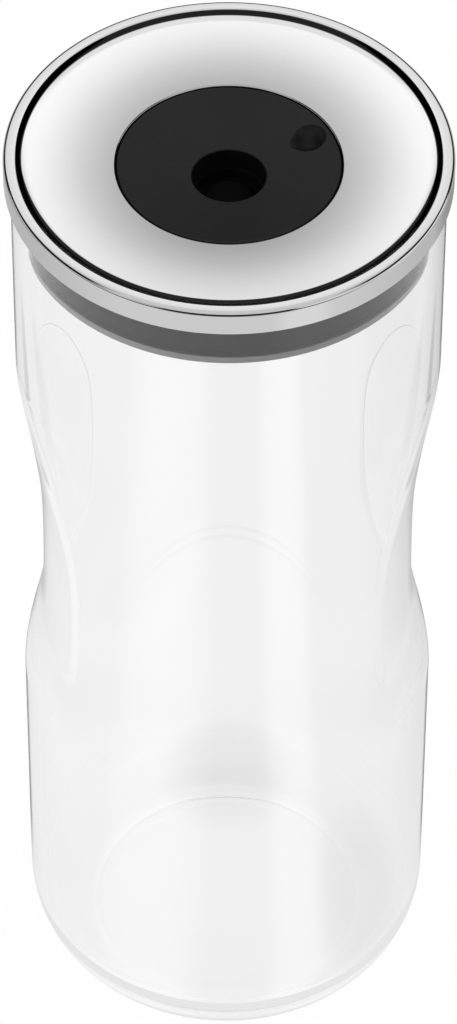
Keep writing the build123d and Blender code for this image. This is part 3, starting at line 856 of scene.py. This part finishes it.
# Studio: floor, world, lamps and camera
# (first place, last place, tone at the first, tone at the last) of the floor's painted slow changes of light:
# across it as the glass shows it, and from front to back as the steel mirrors it, a painted reflection
painted_through_change = (-0.12, 0.12, 0.95, 0.85)
painted_mirrored_front = (-0.60, -0.45, 0.05, 1.0)
painted_mirrored_change = (-0.20, 0.25, 0.88, 0.54)
# (centre, reach, gain) of the painted patches of light and shade on the floor: through the jar,
# the same on either side, and as the steel mirrors them, a painted reflection
painted_floor_patches = [
    ((-0.021, 0.20), (0.018, 0.60), 0.08),
    ((0.019, 0.20), (0.010, 0.60), 0.09),
    ((0.000, 0.046), (0.022, 0.026), -0.10),
    ((0.038, 0.000), (0.016, 0.040), -0.10),
    ((0.085, 0.15), (0.040, 0.20), -0.07),
    ((-0.090, 0.00), (0.025, 0.07), -0.04),
]
painted_side_shade = [
    ((0.165, 0.16), (0.016, 0.055), -0.45),
    ((0.220, 0.10), (0.016, 0.060), -0.35),
]
painted_mirrored_patches = [
    ((0.18, -0.25), (0.10, 0.08), 0.15),
    ((0.16, 0.26), (0.12, 0.24), -0.25),
]


def pale_floor():
    """Pale floor that shows almost white and keeps a faint shadow, with painted light and shade in the glow seen
    through the jar and mirrored in the steel.
    """
    shader = Shader("floor")
    cloud = shader.noise(shader.place, floor_scale, 3.0)
    shader.set(colour=shader.drift(cloud, *floor_tones), rough=0.9, specular=0.0)
    # Painted light and shade: the glow's tone gets slow changes and patches, seen only through the glass and in
    # reflections.
    x, y = shader.split(shader.place)[:2]
    mirrored = shader.spread(y, *painted_mirrored_front)
    mirrored = shader.math("MULTIPLY", mirrored, shader.spread(y, *painted_mirrored_change))
    for centre, reach, gain in painted_mirrored_patches:
        mirrored = shader.math("ADD", mirrored, shader.patch(x, y, centre, reach, gain))
    through = shader.spread(x, *painted_through_change)
    for centre, reach, gain in painted_floor_patches:
        through = shader.math("ADD", through, shader.patch(x, y, centre, reach, gain))
    beside = shader.math("ABSOLUTE", x)
    for centre, reach, gain in painted_side_shade:
        through = shader.math("ADD", through, shader.patch(beside, y, centre, reach, gain))
    tone = shader.math("MULTIPLY", through, shader.through_glass())
    outside = shader.math("SUBTRACT", 1.0, shader.through_glass())
    tone = shader.math("ADD", tone, shader.math("MULTIPLY", mirrored, outside))
    tone = shader.math("MAXIMUM", tone, shader.rays("Is Camera Ray"))
    glow = shader.add("ShaderNodeEmission")
    shader.link(tone, glow.inputs["Color"])
    seen = shader.rays("Is Camera Ray", "Is Glossy Ray", "Is Transmission Ray")
    share = shader.math("MULTIPLY", seen, floor_glow)
    mix = shader.add("ShaderNodeMixShader")
    shader.feed(mix.inputs, (share, shader.surface.outputs[0], glow.outputs[0]))
    shader.link(mix.outputs[0], shader.output.inputs["Surface"])
    half = floor_size / 2
    corners = [(-half, -half, 0), (half, -half, 0), (half, half, 0), (-half, half, 0)]
    floor = mesh_object("floor", corners, [(0, 1, 2, 3)], shader.material)
    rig.stage(floor)


def panel(nodes, direction, azimuth, elevation, reach, low, high, soft):
    """Soft-edged bright panel in the surroundings: its light, and how high on it a ray lands."""
    turn = Matrix.Rotation(-azimuth, 3, "Z") @ Matrix.Rotation(elevation, 3, "X")
    beside, ahead, above = (turn @ Vector(axis) for axis in ((1, 0, 0), (0, 1, 0), (0, 0, 1)))
    depth = nodes.dot(direction, ahead)
    facing = nodes.math("MAXIMUM", depth, least_depth)
    across = nodes.math("ABSOLUTE", nodes.math("DIVIDE", nodes.dot(direction, beside), facing))
    height = nodes.math("DIVIDE", nodes.dot(direction, above), facing)
    light = nodes.spread(across, reach - soft, reach + soft, 1, 0, smooth=True)
    for edge, order in ((low, (0, 1)), (high, (1, 0))):
        inside = nodes.spread(height, edge - soft, edge + soft, *order, smooth=True)
        light = nodes.math("MULTIPLY", light, inside)
    ahead_only = nodes.math("GREATER_THAN", depth, least_depth)
    return nodes.math("MULTIPLY", light, ahead_only), height


def studio_world():
    """Plain pale light for dull surfaces; bright panels in dark surroundings for shiny ones."""
    world = bpy.data.worlds.new("studio")
    bpy.context.scene.world = world
    world.use_nodes = True
    nodes = Nodes(world.node_tree)
    nodes.tree.nodes.clear()
    direction = nodes.add("ShaderNodeTexCoord").outputs["Generated"]
    back, height = panel(nodes, direction, *back_panel)
    fall = nodes.math("MULTIPLY", nodes.math("MULTIPLY", height, height), back_fall)
    back = nodes.math("MULTIPLY", back, nodes.math("SUBTRACT", 1.0, fall))
    seen = nodes.math("MAXIMUM", world_dark, back)
    for *sizes, level in other_panels:
        light = nodes.math("MULTIPLY", panel(nodes, direction, *sizes)[0], level)
        seen = nodes.math("MAXIMUM", seen, light)
    through = nodes.math("MULTIPLY", nodes.through_glass(), world_through_glass)
    seen = nodes.math("MAXIMUM", seen, through)
    plain = nodes.rays("Is Camera Ray", "Is Diffuse Ray")
    background = nodes.add("ShaderNodeBackground")
    strength = nodes.spread(nodes.rays("Is Diffuse Ray"), 0, 1, 1.0, world_on_dull)
    nodes.feed(background.inputs, (nodes.blend(plain, seen, (1, 1, 1, 1)), strength))
    output = nodes.add("ShaderNodeOutputWorld")
    nodes.link(background.outputs[0], output.inputs["Surface"])


def softbox(name, place, size, power):
    """Area lamp that faces the canister's lid."""
    data = bpy.data.lights.new(name, "AREA")
    data.shape = "RECTANGLE"
    data.size, data.size_y = size
    data.energy = power
    lamp = bpy.data.objects.new(name, data)
    lamp.location = place
    aim = Vector((0, 0, lid_top)) - Vector(place)
    lamp.rotation_euler = aim.to_track_quat("-Z", "Y").to_euler()
    lamp.visible_glossy = False
    lamp.visible_transmission = False
    bpy.context.scene.collection.objects.link(lamp)


def photo_camera():
    """Camera where the photograph was taken from."""
    data = bpy.data.cameras.new("photo_camera")
    data.sensor_width = sensor_width
    data.lens = focal_pixels * sensor_width / image_height
    data.clip_start = camera_clip
    camera = bpy.data.objects.new("photo_camera", data)
    camera.location = camera_place
    tilt = Matrix.Rotation(math.pi / 2 - view_angle, 3, "X")
    camera.rotation_euler = (tilt @ Matrix.Rotation(camera_roll, 3, "Z")).to_euler()
    bpy.context.scene.collection.objects.link(camera)
    bpy.context.scene.camera = camera


pale_floor()
studio_world()
for lamp in softboxes:
    softbox(*lamp)
photo_camera()
bpy.context.scene.view_settings.view_transform = "Standard"

with open("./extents.json", "w") as file:
    boxes = {"cad": cad_box, "visual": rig.bounds()}
    json.dump({name: [list(corner) for corner in box] for name, box in boxes.items()}, file)
